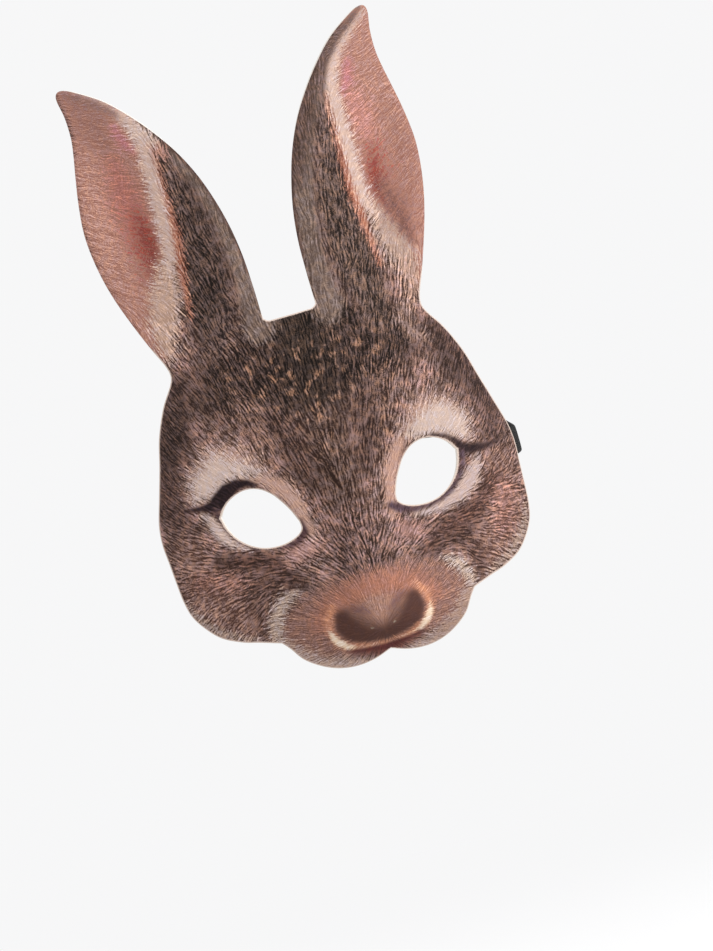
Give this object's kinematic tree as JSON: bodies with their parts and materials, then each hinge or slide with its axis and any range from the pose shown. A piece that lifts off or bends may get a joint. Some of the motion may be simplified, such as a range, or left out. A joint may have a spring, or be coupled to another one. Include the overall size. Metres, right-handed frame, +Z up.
{
  "type": "animal half mask",
  "caption": "Child's hare half mask of pressed foam sheet with a printed fur front, tall ears, eye holes and a flat elastic head band.",
  "frame": {"origin": "on the back of the mask, midway between the eye holes, where it sits over the bridge of the nose", "axes": "+X to the right of someone who looks at the mask's front, +Y from the front through the mask to the back of the head, +Z up towards the tips of the ears"},
  "size_m": [0.1513, 0.2124, 0.2497],
  "materials": {
    "fur_print": "matt cloth printed as brown hare's fur, on foam sheet",
    "elastic": "matt black woven elastic",
    "foam": "matt off-white foam sheet"
  },
  "bodies": {
    "root": {"mask_shell": "fur_print", "elastic_band": "elastic", "band_tab_right": "foam", "band_tab_left": "foam"}
  },
  "joints": []
}
